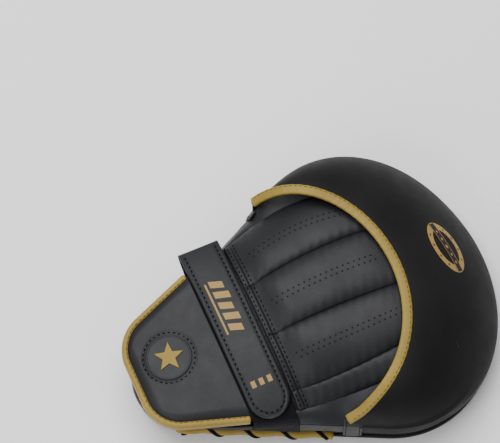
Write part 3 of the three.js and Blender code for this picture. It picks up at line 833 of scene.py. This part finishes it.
def under_hem(a, b):
    """The hem's lower layer: a strip that runs past the cover to a point on the thumb side."""
    x = lerp(UNDER_HEM_START_X, UNDER_HEM_POINT_X, a)
    low = HEM_Y - UNDER_HEM_WIDTH
    high = lerp(HEM_Y + 0.0006, low + 0.0002, ease(x, UNDER_HEM_NARROWS_X, UNDER_HEM_POINT_X))
    y = lerp(high, low, b)
    inner = min(max(x, crease_x(0, 0.0)), crease_x(4, 0.0))
    z = cover_arch(inner, 0.0) - 0.0024
    if x > inner:
        hit, _, _, _ = surfaces["thumb_panel_skin"].ray_cast(Vector((x, y, 0.2)), -UP)
        z = lerp(z, (hit or Vector((x, y, z))).z + 0.0008, min(1.0, (x - inner) / 0.004))
    return Vector((x, y, z))


add_piece("under_hem", sheet_mesh(90, 5, under_hem), black_leather, "pad",
          thickness=UNDER_HEM_SKIN)

# ---- Lower side wall ---------------------------------------------------------------------
# The low leather wall round the wrist end, from one stitched tab to the other. The side
# laces pull it in along its foot.
LACE_PITCH = 0.0235
trim_low, trim_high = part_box("side_trim_right")
TRIM_Z = (trim_low.z + trim_high.z) / 2
TRIM_HALF_HIGH = 0.0030
TRIM_HALF_OUT = 0.0029
TRIM_OUT = -0.0008
TRIM_START_Y, TRIM_END_Y = -0.016, -0.107
LOWER_WALL_END_Z = 0.0240
PUCKER = 0.0005
trim_from, trim_to = share_at(TRIM_START_Y), share_at(TRIM_END_Y)


def path_step(path, t):
    """The two corners of a path that a share t of it lies between, and how far along."""
    k = min(len(path) - 2, int(t * (len(path) - 1)))
    return path[k], path[k + 1], t * (len(path) - 1) - k


def lower_wall(a, b):
    share = lerp(-tab_share, tab_share, a)
    y = edge(share)[0].y
    top = lerp(LOWER_WALL_END_Z, WALL_TOP_Z, ease(y, -0.075, -0.030))
    low, high, w = path_step([(SEAM_INSET - 0.0004, WALL_FOOT_Z), (SEAM_INSET + 0.0008, TRIM_Z),
                              (0.0016, TRIM_Z + 0.0035),
                              (-0.0008, lerp(TRIM_Z + 0.004, top, 0.5)), (-0.0002, top)], b)
    pucker = math.sin(share * outline_length / LACE_PITCH * 2 * math.pi) * math.exp(-b * 3)
    return wall(share, lerp(low[0], high[0], w * w * (3 - 2 * w)) + PUCKER * pucker,
                lerp(low[1], high[1], w))


lower_bm = sheet_mesh(240, 20, lower_wall)
swell(lower_bm, lambda place: PUCKER * noise.noise(place * 45))
add_piece("lower_wall_skin", lower_bm, black_leather, "pad", ["lower_side_wall"],
          thickness=SKIN)

# ---- Side trims and laces ----------------------------------------------------------------
# On each side of the wrist a gold leather roll lies in the seam, and a thick black cord is
# wound over it and through the wall, one slanting turn for every stitch.
CORD_RADIUS = 0.0012
CORD_SUNK = 0.3
SQUEEZE = 0.0005
trim_turns = (trim_from - trim_to) * outline_length / LACE_PITCH
turns = int(trim_turns)
cord_look = thread_look("lace_cord", (0.007, 0.007, 0.008))


def beside(share, sign, out_by, z):
    point, out = edge(share if sign > 0 else 1 - share)
    place = Vector((point.x + out.x * out_by, point.y + out.y * out_by, z))
    return place, Vector((out.x, out.y, 0))


for side, sign in (("right", 1), ("left", -1)):
    def trim_spine(t, sign=sign):
        middle, out = beside(lerp(trim_from, trim_to, t), sign, TRIM_OUT, TRIM_Z)
        return middle + out * (SQUEEZE * math.cos(2 * math.pi * t * trim_turns)), out, UP

    add_piece(f"trim_roll_{side}",
              roll_mesh(160, 14, trim_spine, TRIM_HALF_OUT, TRIM_HALF_HIGH, square=0.85, cap=0.02),
              gold_leather, "pad", [f"side_trim_{side}"], closed=True)

    def cord_middle(t, sign=sign):
        turn = t * turns
        share = lerp(trim_from, trim_to, (turn + 0.15) / (turns + 0.3))
        middle, out = beside(share, sign, TRIM_OUT, TRIM_Z)
        angle = 2 * math.pi * turn
        return (middle + out * ((TRIM_HALF_OUT + CORD_RADIUS * CORD_SUNK) * math.cos(angle))
                + UP * ((TRIM_HALF_HIGH + CORD_RADIUS * CORD_SUNK) * math.sin(angle)))

    def cord_spine(t, middle=cord_middle):
        here = middle(t)
        run = (middle(min(1, t + 0.002)) - middle(max(0, t - 0.002))).normalized()
        side_way = run.cross(UP)
        side_way = side_way.normalized() if side_way.length > 0.1 else Vector((1, 0, 0))
        return here, side_way, side_way.cross(run)

    add_piece(f"lace_cord_{side}",
              roll_mesh(turns * 26, 10, cord_spine, CORD_RADIUS, CORD_RADIUS, cap=0.01),
              cord_look, "pad", [f"side_lace_{side}"], closed=True)

# ---- Junction tabs -----------------------------------------------------------------------
# A bound strip of leather on each side, folded over the joint of crown and lower wall and
# sewn down both its edges.
TAB_HALF = 0.0060
TAB_HUMP = 0.0007
TAB_SKIN = 0.0014
TAB_CLIMB = [(SEAM_INSET - 0.0014, WALL_FOOT_Z - 0.0004), (-0.0010, 0.020), (-0.0012, 0.0330),
             (-0.0006, 0.0400), (0.0020, 0.0452)]
for side, sign in (("right", 1), ("left", -1)):
    def tab_point(a, b, sign=sign):
        share = tab_share + (2 * a - 1) * TAB_HALF / outline_length
        low, high, w = path_step(TAB_CLIMB, b)
        hump = TAB_HUMP * (1 - abs(2 * a - 1) ** 3)
        return wall(share if sign > 0 else 1 - share, lerp(low[0], high[0], w) - hump,
                    lerp(low[1], high[1], w))

    add_piece(f"tab_{side}", sheet_mesh(16, 28, tab_point), black_leather, "pad",
              [f"junction_tab_{side}"], thickness=TAB_SKIN)
    sew(f"tab_stitches_{side}",
        [([tab_point(a, k / 30) for k in range(1, 30)], f"tab_{side}", 0.0032, 0.0023, 0.0008)
         for a in (0.14, 0.86)], black_thread, "pad")

# ---- Loop band ---------------------------------------------------------------------------
# A strip of dark loop tape over the wrist, sewn to both side walls. The strap's hook side
# grips it.
band_low, band_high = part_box("loop_band")
BAND_WIDTH = band_high.y - band_low.y
BAND_DROP = 0.0065
BAND_SHOULDER_LOW, BAND_SHOULDER_HIGH = 0.0535, 0.0612
BAND_THICK = 0.0016
# The loop tape's own colour is a dark purplish black. It is made darker still as painted shadow of
# the strap that lies over it.
LOOP_BLACK_AND_STRAP_SHADOW = (0.0052, 0.0046, 0.0068)


def band_top(x):
    return band_high.z - BAND_DROP * abs(x / 0.062) ** 2.6


def band_section(y):
    """Half the band's path in X and Z, from the middle of the wrist down to the side wall."""
    shoulder = lerp(BAND_SHOULDER_LOW, BAND_SHOULDER_HIGH, (y - band_low.y) / BAND_WIDTH)
    foot = half_width(y) + 0.0012
    return [(0.0, band_high.z),
            *((x, band_top(x)) for x in (shoulder * 0.3, shoulder * 0.6, shoulder - 0.004)),
            (shoulder + 0.0016, 0.0405), (lerp(shoulder, foot, 0.7) + 0.0006, 0.0300),
            (foot, 0.0225)]


def smooth_run(points, t):
    """A point on a soft curve through a list of points (x, z)."""
    last = len(points) - 1
    k = min(last - 1, int(t * last))
    w = t * last - k
    p0, p1, p2, p3 = (points[min(last, max(0, k + j))] for j in (-1, 0, 1, 2))
    return [0.5 * (2 * b + (c - a) * w + (2 * a - 5 * b + 4 * c - d) * w * w
                   + (3 * b - a - 3 * c + d) * w ** 3)
            for a, b, c, d in zip(p0, p1, p2, p3)]


def band_point(a, b):
    y = lerp(band_low.y - 0.0014, band_high.y, b)
    sign = 1 if a >= 0.5 else -1
    x, z = smooth_run(band_section(y), abs(2 * a - 1))
    return Vector((sign * x, y, z + 0.0003 * noise.noise(Vector((x * 60, y * 60, 1)))))


def loop_tape(name, colour, scale):
    """Hook-and-loop tape: a dense nap of fine loops, as bump and a soft sheen."""
    look, tree, shader = start_look(name)
    place = add_node(tree, "TexCoord").outputs["Object"]
    nap = add_node(tree, "TexNoise", {"Vector": place, "Scale": scale, "Detail": 6.0,
                                      "Roughness": 0.75}).outputs["Fac"]
    ribs = add_node(tree, "TexVoronoi", {"Vector": place, "Scale": scale * 0.8})
    height = add_node(tree, "Math", {0: nap, 1: ribs.outputs["Distance"]}, operation="ADD")
    finish_look(tree, shader, nap, shaded(colour, 0.4), shaded(colour, 1.7), height.outputs[0],
                0.9, 0.0006, {"Roughness": 0.95, "Specular IOR Level": 0.15,
                              "Sheen Weight": 0.06, "Sheen Roughness": 0.4})
    return look


loop_look = loop_tape("loop_tape", LOOP_BLACK_AND_STRAP_SHADOW, 1400.0)
add_piece("loop_band_tape", sheet_mesh(140, 26, band_point), loop_look, "pad",
          ["loop_band"], thickness=BAND_THICK)

# ---- Strap -------------------------------------------------------------------------------
# The closing strap: two layers of leather over webbing, turned at the edges and sewn all
# round with black thread. One end is round; the other folds down and is sewn to the wall.
strap_low, strap_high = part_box("strap_outer")
STRAP_HALF = (strap_high.y - strap_low.y) / 2
STRAP_Y = (strap_high.y + strap_low.y) / 2
STRAP_THICK = 0.0030
STRAP_FOLD_X = -0.0675
STRAP_LIFT = 0.0032
STRAP_STRAIGHT_SHARE = 0.82
GROOVE_DEEP, GROOVE_SPREAD = 0.00045, 0.0009
STITCH_INSET = 0.0030
strap_tip_x = strap_high.x + 0.0015
strap_round_x = strap_tip_x - STRAP_HALF


def strap_height(x):
    return band_top(x) + STRAP_LIFT + STRAP_THICK / 2


def strap_outline(a):
    """The strap's X and half its width, at a share of the way along it."""
    if a < STRAP_STRAIGHT_SHARE:
        return lerp(STRAP_FOLD_X, strap_round_x, a / STRAP_STRAIGHT_SHARE), STRAP_HALF
    turn = (a - STRAP_STRAIGHT_SHARE) / 0.18 * math.pi / 2
    return strap_round_x + STRAP_HALF * math.sin(turn), STRAP_HALF * math.cos(turn)


def strap_section(b):
    """Across the strap, over its top and back under it: share of the half width, and height."""
    turn = 2 * math.pi * b
    c, s = math.cos(turn), math.sin(turn)
    return math.copysign(abs(c) ** 0.34, c), math.copysign(abs(s) ** 0.5, s)


def strap_point(b, a):
    x, half = strap_outline(a)
    wide, high = strap_section(b)
    rim = min(1.0, half / 0.004)
    y = STRAP_Y + half * wide
    groove = 0.0
    if high > 0.9 and half > 0.004:
        inset = half * (1 - abs(wide))
        groove = -GROOVE_DEEP * math.exp(-((inset - STITCH_INSET) / GROOVE_SPREAD) ** 2)
    z = strap_height(x) - STRAP_THICK / 2 + STRAP_THICK / 2 * high * rim + groove
    z += 0.0003 * noise.noise(Vector((x * 50, y * 50, 2.0)))
    return Vector((x, y, z))


add_piece("strap_band", sheet_mesh(72, 150, strap_point), black_leather, "strap",
          ["strap_outer"], closed=True)


def strap_rim_line():
    """The stitch line: along one edge, round the tip, and back."""
    reach = STRAP_HALF - STITCH_INSET
    start_x = STRAP_FOLD_X + 0.002
    turns_round = [math.pi * k / 40 - math.pi / 2 for k in range(1, 40)]
    line = [(lerp(start_x, strap_round_x, k / 80), STRAP_Y - reach) for k in range(81)]
    line += [(strap_round_x + reach * math.cos(turn), STRAP_Y + reach * math.sin(turn))
             for turn in turns_round]
    line += [(lerp(strap_round_x, start_x, k / 80), STRAP_Y + reach) for k in range(81)]
    points = [Vector((x, y, 0)) for x, y in line]
    for point in points:
        point.z = strap_height(point.x)
    return points


sew("strap_stitches", [(strap_rim_line(), "strap_band", 0.0035, 0.0025, 0.0011)],
    black_thread, "strap")

# ---- Strap print -------------------------------------------------------------------------
# A generic gold print on the strap: slanting bars over a thin line, and three short bars
# near the round end.
print_bm = bmesh.new()
DOWN = -UP


def strap_patch(x, long, y, wide, slant=0.0, cells=6):
    """A gold bar: x and y are its low corner, the y counted from the strap's middle."""
    low, high = STRAP_Y + y, STRAP_Y + y + wide
    lay_patch(print_bm, [(x, low, 0.1), (x + long, low, 0.1), (x + long + slant, high, 0.1),
                         (x + slant, high, 0.1)], surfaces["strap_band"], DOWN, cells=cells)


for k in range(5):
    strap_patch(-0.0420 + 0.0078 * k, 0.0048, -0.0045, 0.0085 + 0.0012 * (k % 2), slant=0.0030)
strap_patch(-0.0410, 0.0370, -0.0075, 0.0012, cells=20)
for k in range(3):
    strap_patch(0.0300, 0.0045, -0.0070 + 0.0055 * k, 0.0030)
add_piece("strap_print", print_bm, gold_foil, "strap")

# ---- Strap root --------------------------------------------------------------------------
# The strap's sewn end: one layer of leather that hangs from the fold, down over the loop
# band's leg, and is caught in the wall on the little finger side.
ROOT_SKIN, ROOT_OUT = 0.0014, 0.0042
root_low, root_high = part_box("strap_root")


def strap_root_point(a, b):
    y = lerp(root_low.y, root_high.y, b)
    foot = half_width(y) + ROOT_OUT
    path = [(STRAP_FOLD_X + 0.0035, strap_height(STRAP_FOLD_X) - 0.0006),
            (STRAP_FOLD_X - 0.0006, strap_height(STRAP_FOLD_X) - 0.0020),
            (STRAP_FOLD_X - 0.0014, 0.0405), (-(foot + 0.0026), 0.0295), (-(foot + 0.0006), 0.0205)]
    x, z = smooth_run(path, a)
    return Vector((x, y, z))


root = add_piece("strap_root_skin", sheet_mesh(40, 24, strap_root_point), black_leather, None,
                 ["strap_root"], thickness=ROOT_SKIN)
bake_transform(root)

# ---- Cuff flap ---------------------------------------------------------------------------
# The padded flap over the wrist: leather on top, foam, and a cloth lining, bound round its
# free edge with gold leather tape. A strip of the leather runs on under the strap and is
# sewn to the loop band.
flap_low, flap_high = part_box("cuff_cover")
patch_low, patch_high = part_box("emblem_patch")
patch_x, patch_y = (patch_low.x + patch_high.x) / 2, (patch_low.y + patch_high.y) / 2
FLAP_X = (flap_low.x + flap_high.x) / 2
FLAP_ROOT_Y = flap_high.y
FLAP_END_RADIUS = 0.0226
FLAP_END_X = 0.0135
FLAP_END_Y = -0.0945
flap_half_root = (flap_high.x - flap_low.x) / 2
FLAP_ROOT_Z = flap_high.z
FLAP_END_Z = 0.0445
CUFF_BINDING_GROW = 0.0030
CUFF_TAPE_HALF, CUFF_TAPE_HALF_HIGH = 0.0023, 0.0040
FLAP_SKIN_GROW = 0.0012
FLAP_SKIN, FLAP_ROOT_SKIN = 0.0010, 0.0012
FLAP_PUFF = 0.0022
PATCH_SEAM_RADIUS = 0.0166
flap_side = Vector((flap_half_root - FLAP_END_X, FLAP_ROOT_Y - FLAP_END_Y))
flap_corner_angle = (math.atan2(flap_side.y, flap_side.x)
                     - math.acos(FLAP_END_RADIUS / flap_side.length))


def flap_corner(radius):
    """Where the flap's straight side meets its round end, at this radius of the end."""
    return (FLAP_END_X + radius * math.cos(flap_corner_angle),
            FLAP_END_Y + radius * math.sin(flap_corner_angle))


def flap_half(y, grow):
    """Half the flap's width at y, when its outline is grown by this much."""
    radius = FLAP_END_RADIUS + grow
    corner_x, corner_y = flap_corner(radius)
    if y < corner_y:
        return FLAP_END_X + math.sqrt(max(0.0, radius ** 2 - (y - FLAP_END_Y) ** 2))
    return lerp(corner_x, flap_half_root + grow, (y - corner_y) / (FLAP_ROOT_Y - corner_y))


def flap_height(x, y):
    down = (FLAP_ROOT_Y - y) / (FLAP_ROOT_Y - FLAP_END_Y + FLAP_END_RADIUS)
    return lerp(FLAP_ROOT_Z, FLAP_END_Z, down) - 0.0030 * ((x - FLAP_X) / 0.054) ** 2


def flap_top(a, b):
    """The flap's leather: b runs from its root to its free end, in finer and finer rows."""
    low = FLAP_END_Y - FLAP_END_RADIUS - FLAP_SKIN_GROW
    y = lerp(FLAP_ROOT_Y + 0.0010, low, math.sin(b * math.pi / 2))
    across = math.sin((a - 0.5) * math.pi)
    half = flap_half(y, FLAP_SKIN_GROW)
    x = FLAP_X + across * half
    rim = min(1.0, max(0.0, half - abs(x - FLAP_X)) / 0.006)
    end = min(1.0, max(0.0, y - low) / 0.007)
    puff = FLAP_PUFF * (1 - (1 - rim) ** 2.2) * (1 - (1 - end) ** 2.2)
    dimple = math.hypot(x - patch_x, y - patch_y)
    sunk = -0.0006 * math.exp(-((dimple - PATCH_SEAM_RADIUS) / 0.0008) ** 2)
    slow = 0.0005 * noise.noise(Vector((x * 35, y * 35, 9.0)))
    return Vector((x, y, flap_height(x, y) - 0.0009 + puff + sunk + slow * rim * end))


flap = add_piece("cuff_flap_skin", sheet_mesh(100, 80, flap_top), black_leather, "cuff",
                 ["cuff_cover"], thickness=FLAP_SKIN)


def cuff_outline(t):
    """Round the flap's free edge from its root on one side to its root on the other."""
    radius = FLAP_END_RADIUS + CUFF_BINDING_GROW
    angle = flap_corner_angle
    corner = Vector(flap_corner(radius))
    top = Vector((flap_half_root + CUFF_BINDING_GROW, FLAP_ROOT_Y + 0.0005))
    straight = (top - corner).length
    arc = radius * (angle + math.pi / 2)
    total = straight + arc + FLAP_END_X
    sign = 1 if t < 0.5 else -1
    at = (t if t < 0.5 else 1 - t) * 2 * total
    if at < straight:
        point = top.lerp(corner, at / straight)
        out = Vector((math.cos(angle), math.sin(angle)))
    elif at < straight + arc:
        turn = angle - (at - straight) / radius
        out = Vector((math.cos(turn), math.sin(turn)))
        point = Vector((FLAP_END_X, FLAP_END_Y)) + out * radius
    else:
        point = Vector((FLAP_END_X - (at - straight - arc), FLAP_END_Y - radius))
        out = Vector((0, -1))
    return Vector((FLAP_X + sign * point.x, point.y)), Vector((sign * out.x, out.y))


def cuff_spine(t):
    point, out = cuff_outline(t)
    lumps = 0.00015 * math.sin(t * 240) + 0.0003 * noise.noise(Vector((*point, 0.3)) * 60)
    middle = Vector((point.x, point.y, flap_height(point.x, point.y) - 0.0036 + lumps))
    return middle, Vector((out.x, out.y, 0)), UP


add_piece("cuff_binding_tape",
          roll_mesh(260, 20, cuff_spine, CUFF_TAPE_HALF, CUFF_TAPE_HALF_HIGH, square=0.7, cap=0.01),
          gold_leather, "cuff", ["cuff_binding"], closed=True)
cuff_line = []
for k in range(4, 297):
    point, out = cuff_outline(k / 300)
    inner = point - out * 0.0014
    cuff_line.append(Vector((inner.x, inner.y, flap_height(inner.x, inner.y) + 0.002)))
sew("cuff_binding_stitches", [(cuff_line, "cuff_binding_tape", 0.0034, 0.0025, 0.0006)],
    gold_thread, "cuff")


def flap_root(a, b):
    """The strip from the flap's root to under the strap."""
    y = lerp(FLAP_ROOT_Y - 0.0040, band_low.y + 0.0030, b)
    x = FLAP_X + (2 * a - 1) * (flap_half_root + 0.0015 + 0.002 * b)
    under_strap = min(band_top(x), flap_height(x, FLAP_ROOT_Y)) - 0.0022
    return Vector((x, y, lerp(flap_height(x, y), under_strap, b) - 0.0022))


flap_root_piece = add_piece("cuff_root", sheet_mesh(50, 14, flap_root), black_leather, None,
                            thickness=FLAP_ROOT_SKIN)
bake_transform(flap_root_piece)

# ---- Emblem patch ------------------------------------------------------------------------
# A soft rubber disc sewn to the flap in a circle, with a raised gold star in the middle.
PATCH_RADIUS = 0.0150
PATCH_HIGH = 0.0007
rubber = leather("patch_rubber", (0.024, 0.025, 0.028), 0.5, pebble=2400.0, relief=0.06,
                 spread=0.1)


def on_flap(x, y, lift):
    hit, _, _, _ = surfaces["cuff_flap_skin"].ray_cast(Vector((x, y, 0.2)), DOWN)
    return hit + UP * lift


def round_patch(radius, turn, lift):
    """A point on the flap, at a radius and a turn round the patch's middle."""
    return on_flap(patch_x + radius * math.cos(turn), patch_y + radius * math.sin(turn), lift)


def patch_point(a, b):
    """The disc, from its middle over its raised rim to its edge."""
    share, high = smooth_run([(0.0, PATCH_HIGH), (0.45, PATCH_HIGH), (0.86, PATCH_HIGH),
                              (0.91, 0.0010), (0.95, 0.0010), (0.98, 0.0006), (1.0, -0.0002)], b)
    return round_patch(share * PATCH_RADIUS, 2 * math.pi * a, high)


add_piece("patch_disc", sheet_mesh(64, 26, patch_point), rubber, "cuff",
          ["emblem_patch"])
patch_line = [round_patch(PATCH_SEAM_RADIUS, k / 60 * math.pi, 0) for k in range(120)]
sew("patch_stitches", [(patch_line, "cuff_flap_skin", 0.0034, 0.0024, 0.0010)], black_thread,
    "cuff", ring=True)

STAR_TIP, STAR_NOTCH = 0.0100, 0.0043
STAR_HIGH, STAR_PEAK, STAR_BEVEL = 0.0009, 0.0007, 0.0003
star_bm = bmesh.new()
star_verts = bmesh.ops.create_circle(star_bm, cap_ends=True, segments=10, radius=STAR_TIP)["verts"]
for k, v in enumerate(sorted(star_verts, key=lambda v: math.atan2(v.co.y, v.co.x))):
    angle = math.pi / 2 + k * math.pi / 5
    v.co = Vector((math.cos(angle), math.sin(angle), 0)) * (STAR_TIP if k % 2 == 0 else STAR_NOTCH)
star_face = bmesh.ops.extrude_face_region(star_bm, geom=star_bm.faces[:])
top_verts = [v for v in star_face["geom"] if isinstance(v, bmesh.types.BMVert)]
bmesh.ops.translate(star_bm, verts=top_verts, vec=(0, 0, STAR_HIGH))
bmesh.ops.poke(star_bm, faces=[f for f in star_bm.faces if all(v in top_verts for v in f.verts)])
middle_vert = min(star_bm.verts, key=lambda v: (v.co.xy.length, -v.co.z))
middle_vert.co.z += STAR_PEAK
for v in star_bm.verts:
    v.co = on_flap(patch_x + v.co.x, patch_y + v.co.y, PATCH_HIGH + v.co.z)
star = add_piece("patch_star", star_bm, gold_leather, "cuff", ["emblem_mark"],
                 closed=True, bevel=STAR_BEVEL)
for polygon in star.data.polygons:
    polygon.use_smooth = False

# ---- Inner pieces ------------------------------------------------------------------------
# Foams, linings and the hook patch keep the shape that they have in the frame, and take a
# finish of their own.


def foam_look():
    """Closed-cell foam, with fine pores."""
    look, tree, shader = start_look("closed_cell_foam")
    place = add_node(tree, "TexCoord").outputs["Object"]
    pores = add_node(tree, "TexVoronoi", {"Vector": place, "Scale": 900.0}).outputs["Distance"]
    finish_look(tree, shader, pores, (0.02, 0.02, 0.02), (0.06, 0.06, 0.062), pores, 0.6, 0.0004,
                {"Roughness": 0.9})
    return look


def lining_look():
    """A plain woven lining cloth."""
    look, tree, shader = start_look("woven_lining")
    place = add_node(tree, "TexCoord").outputs["Object"]
    warp, weft = (add_node(tree, "TexWave", {"Vector": place, "Scale": 260.0},
                           bands_direction=way).outputs["Fac"] for way in "XY")
    weave = add_node(tree, "Math", {0: warp, 1: weft}, operation="MULTIPLY").outputs[0]
    finish_look(tree, shader, weave, (0.008, 0.008, 0.009), (0.028, 0.028, 0.031), weave, 0.5,
                0.0003, {"Roughness": 0.85})
    return look


foam, lining = foam_look(), lining_look()
hook_look = loop_tape("hook_tape", (0.012, 0.012, 0.014), 2200.0)
for node, look in (("strike_foam", foam), ("core_foam", foam), ("crown_bolster", foam),
                   ("cuff_padding", foam), ("finger_lining", lining), ("cuff_lining", lining),
                   ("palm_panel", lining), ("strap_hook_patch", hook_look)):
    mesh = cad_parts[node].data
    mesh.materials.clear()
    mesh.materials.append(look)
